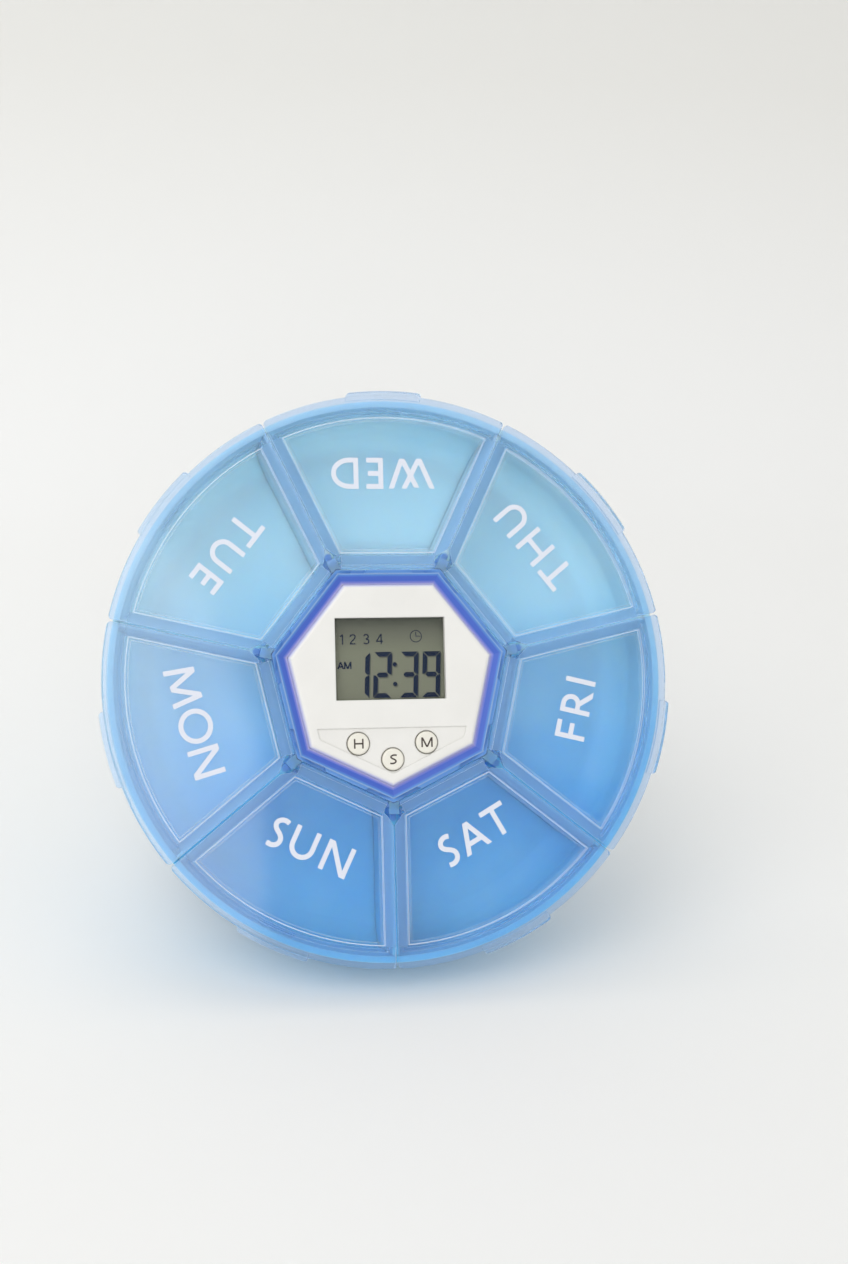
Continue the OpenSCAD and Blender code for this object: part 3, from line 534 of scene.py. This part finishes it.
def letter(ch):
    """Strokes of a letter 6.35 high: lists of (points, level cut at start, level cut at end, closed)."""
    top = 6.35
    stem = lambda x, y0=0, y1=top: ([(x, y0), (x, y1)], False, False, False)
    bar = lambda y, x0, x1: ([(x0, y), (x1, y)], False, False, False)
    slant = lambda a, b: ([a, b], True, True, False)
    if ch == "S":
        pts = [(2.95, 5.7), (2.3, 5.92), (1.5, 5.85), (0.75, 5.3), (0.55, 4.5), (1.0, 3.75), (1.9, 3.1),
               (2.5, 2.35), (2.5, 1.4), (1.95, 0.7), (1.1, 0.42), (0.15, 0.55)]
        return [(smooth(pts), False, False, False)]
    if ch == "U":
        return [([(0, top)] + arc(2.15, 2.6, 2.15, 2.15, 180, 360) + [(4.3, top)], False, False, False)]
    if ch == "N":
        return [stem(0), stem(4.85), slant((0.1, top), (4.75, 0))]
    if ch == "M":
        return [slant((0, 0), (0.75, 6.2)), slant((0.75, 6.2), (3.35, 0.5)), slant((3.35, 0.5), (6.05, 6.2)),
                slant((6.05, 6.2), (6.8, 0))]
    if ch == "m":
        return [stem(0), stem(5.5), slant((0.1, top), (2.75, 0)), slant((2.75, 0), (5.4, top))]
    if ch == "O":
        return [(arc(3.0, 3.2, 3.0, 2.95, 0, 360, 36)[:-1], False, False, True)]
    if ch == "T":
        return [bar(5.85, -2.65, 2.65), stem(0, 0, 5.4)]
    if ch == "E":
        return [stem(0), bar(5.85, 0.4, 3.0), bar(3.2, 0.4, 2.65), bar(0.5, 0.4, 2.95)]
    if ch == "W":
        return [slant((0, 6.3), (2.65, 0.2)), slant((2.65, 0.2), (5.85, 6.3)), slant((3.2, 6.1), (6.2, 0.2)),
                slant((6.2, 0.2), (8.5, 6.3))]
    if ch == "D":
        bow = arc(1.4, 3.17, 3.2, 2.68, 90, -90, 18)[1:]
        return [stem(0), ([(0.4, 5.85), (1.4, 5.85)] + bow + [(0.4, 0.5)], False, False, False)]
    if ch == "H":
        return [stem(0), stem(4.7), bar(3.2, 0.4, 4.3)]
    if ch == "F":
        return [stem(0), bar(5.85, 0.4, 3.05), bar(3.1, 0.4, 2.75)]
    if ch == "R":
        return [stem(0), ([(0.4, 5.85), (1.3, 5.85)] + arc(1.3, 4.3, 1.55, 1.55, 90, -90)[1:] + [(0.4, 2.75)],
                          False, False, False), slant((1.45, 2.75), (3.95, 0))]
    if ch == "I":
        return [stem(0)]
    if ch == "A":
        return [slant((0, 0), (2.45, 6.3)), slant((2.45, 6.3), (4.9, 0)), bar(2.0, 1.1, 3.8)]
    if ch == "1":
        return [stem(1.6), ([(0.2, 4.9), (1.3, 6.0)], False, False, False)]
    if ch == "2":
        return [(smooth([(0.3, 4.6), (0.6, 5.6), (1.9, 6.05), (3.2, 5.6), (3.4, 4.5), (2.8, 3.4), (1.2, 1.8),
                         (0.3, 0.5)]), False, False, False), bar(0.35, 0.1, 3.7)]
    if ch == "3":
        return [(smooth([(0.3, 5.2), (1.0, 5.95), (2.2, 6.0), (3.1, 5.3), (3.0, 4.1), (1.9, 3.35), (3.1, 2.7),
                         (3.5, 1.7), (2.9, 0.6), (1.7, 0.3), (0.2, 0.9)]), False, False, False)]
    if ch == "4":
        return [stem(3.0), slant((2.9, top), (0.1, 1.9)), bar(1.75, -0.2, 4.2)]
    raise ValueError(ch)


def mark(name, body, mat, verts, faces, at):
    """A thin printed or moulded mark. at places its own millimetre frame in the disc's."""
    mesh = bpy.data.meshes.new(name)
    mesh.from_pydata(verts, [], faces)
    mesh.transform(TO_ROW @ at)
    mesh.materials.append(mat)
    obj = bpy.data.objects.new(name, mesh)
    bpy.context.scene.collection.objects.link(obj)
    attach(obj, body)
    return obj


def add_letter(verts, faces, ch, origin, scale, width, low, high, angle=0.0, wide=1.0):
    """Strokes lie a hair above each other where they cross."""
    c, s = math.cos(math.radians(angle)), math.sin(math.radians(angle))
    for k, (points, l0, l1, closed) in enumerate(letter(ch)):
        first = len(verts)
        points = [(x * wide, y) for x, y in points]
        stroke(verts, faces, points, width / scale, low, high + 0.002 * k, closed, (l0, l1))
        for i in range(first, len(verts)):
            x, y, z = verts[i]
            x, y = x * scale, y * scale
            verts[i] = (origin[0] + x * c - y * s, origin[1] + x * s + y * c, z)


# Each word stands in a frame turned so that its pocket's middle points down: baseline, tilt, letters
WORDS = {
    "sun": (-40.45, 0.0, [("S", -9.85), ("U", -4.8), ("N", 2.35)]),
    "mon": (-43.7, 3.0, [("M", -12.05), ("O", -3.35), ("N", 4.6)]),
    "tue": (-45.0, 0.0, [("T", -6.0), ("U", -1.6), ("E", 5.6)]),
    "wed": (-45.1, 0.0, [("W", -9.5), ("E", 1.1), ("D", 6.2)]),
    "thu": (-44.0, 0.8, [("T", -5.1), ("H", -0.6), ("U", 7.0)]),
    "fri": (-42.0, -0.8, [("F", -3.75), ("R", 1.5), ("I", 7.8)]),
    "sat": (-38.9, 4.0, [("S", -6.4), ("A", -1.75), ("T", 6.75)]),
}
STROKE = 1.0
for day, (base, tilt, letters) in WORDS.items():
    verts, faces = [], []
    for ch, x in letters:
        rise = math.tan(math.radians(tilt)) * x
        add_letter(verts, faces, ch, (x, base + rise), 1.0, STROKE, DISC_H - 0.005, DISC_H + 0.03, tilt)
    mark("day_" + day, "lid_" + day, M["print_white"], verts, faces, turn(day_angle(day) + 90))

# Letters on the three buttons
STEP_H = 0.3
CAP_RISE = 0.55
CAP = DISC_H + TIMER_RISE - STEP_H + CAP_RISE
for body, ch, at, width, wide in (
    ("button_hour", "H", (-7, -12.76), 4.7, 1.15),
    ("button_set", "S", (0, -16.04), 3.05, 1.6),
    ("button_minute", "m", (7, -12.76), 5.5, 1.2),
):
    k = 1.95 / 6.35
    verts, faces = [], []
    start = (at[0] - width * wide * k / 2, at[1] - 0.97)
    add_letter(verts, faces, ch, start, k, 0.31, CAP - 0.005, CAP + 0.015, 0, wide)
    mark(body + "_letter", body, M["print_dark"], verts, faces, Matrix.Identity(4))

# The display: seven-segment digits with painted shadows, the row of alarm numbers, the clock sign and the
# half of the day
FACE_T, PANE_T, FIT = 1.4, 0.8, 0.05
GLASS_TOP = DISC_H + TIMER_RISE - FACE_T - FIT - PANE_T - FIT
SEG_LOW, SEG_HIGH = GLASS_TOP + 0.002, GLASS_TOP + 0.02
DIGIT_W, DIGIT_H, SEG_T, SEG_GAP = 3.75, 9.3, 0.95, 0.09
SHOWN = {"1": "bc", "2": "abged", "3": "abgcd", "9": "abcdfg"}


def segment(name):
    w, h, t, g = DIGIT_W, DIGIT_H, SEG_T, SEG_GAP
    m = h / 2
    return {
        "a": [(g, h), (w - g, h), (w - t - g, h - t), (t + g, h - t)],
        "d": [(t + g, t), (w - t - g, t), (w - g, 0), (g, 0)],
        "g": [(t * 0.6 + g, m), (t + g, m + t / 2), (w - t - g, m + t / 2), (w - t * 0.6 - g, m),
              (w - t - g, m - t / 2), (t + g, m - t / 2)],
        "f": [(0, h - g), (t, h - t - g), (t, m + t / 2 + g), (t * 0.45, m + g), (0, m + g)],
        "e": [(0, m - g), (t * 0.45, m - g), (t, m - t / 2 - g), (t, t + g), (0, g)],
        "b": [(w, h - g), (w, m + g), (w - t * 0.45, m + g), (w - t, m + t / 2 + g), (w - t, h - t - g)],
        "c": [(w, m - g), (w, g), (w - t, t + g), (w - t, m - t / 2 - g), (w - t * 0.45, m - g)],
    }[name]


verts, faces = [], []
shade_verts, shade_faces = [], []
SLANT = math.tan(math.radians(2.6))
SHADE_DX, SHADE_DY = 0.22, -0.28
# The signs lie below the opening and are seen at a slant, so they are moved to show in their place in it
SHIFT = Matrix.Translation((0.38, 0.2, 0))


def show(outline, x, y):
    pts = [(x + px + SLANT * py, y + py) for px, py in outline]
    slab(verts, faces, pts[::-1], SEG_LOW + 0.006, SEG_HIGH)
    # A painted shadow of the segment: a grey copy offset down and to the right.
    cast = [(px + SHADE_DX, py + SHADE_DY) for px, py in pts]
    slab(shade_verts, shade_faces, cast[::-1], SEG_LOW - 0.001, SEG_LOW + 0.003)


for digit, x in (("1", -8.35), ("2", -3.8), ("3", 1.7), ("9", 6.3)):
    for s in SHOWN[digit]:
        show(segment(s), x, -3.75)
for y in (1.6, 5.6):
    show(arc(0, 0, 0.45, 0.45, 360, 0, 20)[:-1], 0.85, y - 2.6)
mark("display_digits", "tray", M["segment"], verts, faces, SHIFT)
# The segments' painted shadows.
mark("display_digit_shade", "tray", M["segment_shade"], shade_verts, shade_faces, SHIFT)

verts, faces = [], []
k = 2.05 / 6.35
for ch, x in (("1", -10.3), ("2", -8.3), ("3", -5.5), ("4", -2.8)):
    add_letter(verts, faces, ch, (x, 7.15), k, 0.25, SEG_LOW, SEG_HIGH)
k = 1.6 / 6.35
for ch, x in (("A", -10.85), ("m", -9.45)):
    add_letter(verts, faces, ch, (x, 2.2), k * 0.9, 0.3, SEG_LOW, SEG_HIGH)
stroke(verts, faces, arc(5.36, 8.64, 1.17, 1.17, 0, 360, 40)[:-1], 0.16, SEG_LOW, SEG_HIGH, True)
stroke(verts, faces, [(5.36, 9.5), (5.36, 8.64), (6.3, 8.64)], 0.15, SEG_LOW, SEG_HIGH)
mark("display_small_signs", "tray", M["segment"], verts, faces, SHIFT)

# The middle ring's sloping band with mitred corners, down into the gap beside the timer
BAND_SKIN = 0.012
BAND_IN = TIMER_SIDE + 0.02
BAND = [
    (RING_OUT - LIP, RING_TOP + BAND_SKIN), (WELL, RING_TOP - DROP + BAND_SKIN),
    (BAND_IN, RING_TOP - DROP + 0.15), (BAND_IN, RING_TOP - DROP - 0.5),
    (WELL + 0.1, RING_TOP - DROP - 0.5), (RING_OUT - LIP, RING_TOP - 0.3),
]
verts, faces = [], []
for i in range(7):
    a = math.radians(day_angle("sat") + PITCH * (i + 0.5))
    for reach, z in BAND:
        verts.append((reach / math.cos(HALF) * math.cos(a), reach / math.cos(HALF) * math.sin(a), z))
n = len(BAND)
for i in range(7):
    for k in range(n):
        a, b = i * n + k, i * n + (k + 1) % n
        c, d = (i + 1) % 7 * n + (k + 1) % n, (i + 1) % 7 * n + k
        faces.append([b, a, d, c])
mark("ring_band", "tray", M["ring"], verts, faces, Matrix.Identity(4))

# ---------------------------------------------------------------- camera

YAW, PITCH_CAM, ROLL = (math.radians(a) for a in (11.815, -3.485, 1.471))
camera_from_disc = Matrix.Translation((-6.656, -9.642, -454.275)) @ (
    Matrix.Rotation(PITCH_CAM, 4, "X") @ Matrix.Rotation(YAW, 4, "Y") @ Matrix.Rotation(ROLL, 4, "Z")
)
place = TO_ROW @ Matrix.Translation((0, 0, DISC_H)) @ camera_from_disc.inverted()
loc, rot, _ = place.decompose()
cam_data = bpy.data.cameras.new("camera")
cam_data.sensor_width = 36
cam_data.sensor_fit = "AUTO"
cam_data.lens = 36 * 2250 / 1264
cam_data.clip_start = 0.01
cam_data.clip_end = 20
cam = bpy.data.objects.new("camera", cam_data)
bpy.context.scene.collection.objects.link(cam)
cam.matrix_world = Matrix.LocRotScale(loc, rot, None)
bpy.context.scene.camera = cam

# ---------------------------------------------------------------- floor, backdrop and light


def sweep():
    """A table top that turns up softly into a wall."""
    profile = [(-1.6, 0.0), (0.16, 0.0)]
    for i in range(1, 13):
        a = math.radians(90 * i / 12)
        profile.append((0.16 + 0.14 * math.sin(a), 0.14 * (1 - math.cos(a))))
    profile.append((0.30, 2.2))
    xs = (-2.2, 2.2)
    v = [(x, y, z) for y, z in profile for x in xs]
    f = [(2 * i, 2 * i + 1, 2 * i + 3, 2 * i + 2) for i in range(len(profile) - 1)]
    mesh = bpy.data.meshes.new("backdrop")
    mesh.from_pydata(v, [], f)
    for p in mesh.polygons:
        p.use_smooth = True
    t = Tree("backdrop")
    pos = t.node("NewGeometry").outputs["Position"]
    z = t.node("SeparateXYZ", {0: pos}).outputs["Z"]
    colour = t.mix(t.ranged(z, 0.005, 0.10, 0, 1), rgb(242, 242, 241), rgb(234, 233, 229))
    bsdf = t.node("BsdfPrincipled", {"Base Color": colour, "Roughness": 0.9, "Specular IOR Level": 0.1})
    # Seen from behind the wall is open, so that the part shows from every side
    back = t.node("NewGeometry").outputs["Backfacing"]
    behind = t.math("MULTIPLY", back, t.node("LightPath").outputs["Is Camera Ray"])
    open_side = t.node("BsdfTransparent", {"Color": (1, 1, 1, 1)})
    mesh.materials.append(t.finish(t.blend(behind, bsdf, open_side).outputs[0]))
    obj = bpy.data.objects.new("backdrop", mesh)
    bpy.context.scene.collection.objects.link(obj)


sweep()


def lamp(name, at, aim, size, power):
    data = bpy.data.lights.new(name, "AREA")
    data.shape = "DISK"
    data.size = size
    data.energy = power
    obj = bpy.data.objects.new(name, data)
    bpy.context.scene.collection.objects.link(obj)
    obj.location = at
    obj.rotation_euler = (Vector(aim) - Vector(at)).to_track_quat("-Z", "Y").to_euler()


lamp("key", (-0.65, -0.45, 1.15), (0, 0.02, 0.05), 1.1, 4.8)
lamp("fill", (-0.25, -1.35, 0.8), (0, 0, 0.05), 0.9, 3.9)
lamp("back", (-0.1, 0.24, 0.5), (0, 0.03, 0.07), 0.35, 0.35)

world = bpy.data.worlds.new("studio")
bpy.context.scene.world = world
world.use_nodes = True
tree = world.node_tree
light = tree.nodes["Background"]
light.inputs["Color"].default_value = (1, 1, 1, 1)
light.inputs["Strength"].default_value = 0.63
# Past the backdrop's edge the world itself is the pale background, also in reflections
seen = tree.nodes.new("ShaderNodeBackground")
seen.inputs["Color"].default_value = rgb(234, 233, 229)
path = tree.nodes.new("ShaderNodeLightPath")
total = path.outputs["Is Camera Ray"]
for extra in ("Is Glossy Ray", "Is Transmission Ray"):
    either = tree.nodes.new("ShaderNodeMath")
    either.operation = "MAXIMUM"
    tree.links.new(total, either.inputs[0])
    tree.links.new(path.outputs[extra], either.inputs[1])
    total = either.outputs[0]
choose = tree.nodes.new("ShaderNodeMixShader")
tree.links.new(total, choose.inputs[0])
tree.links.new(light.outputs[0], choose.inputs[1])
tree.links.new(seen.outputs[0], choose.inputs[2])
tree.links.new(choose.outputs[0], tree.nodes["World Output"].inputs["Surface"])

view = bpy.context.scene.view_settings
view.view_transform = "Standard"
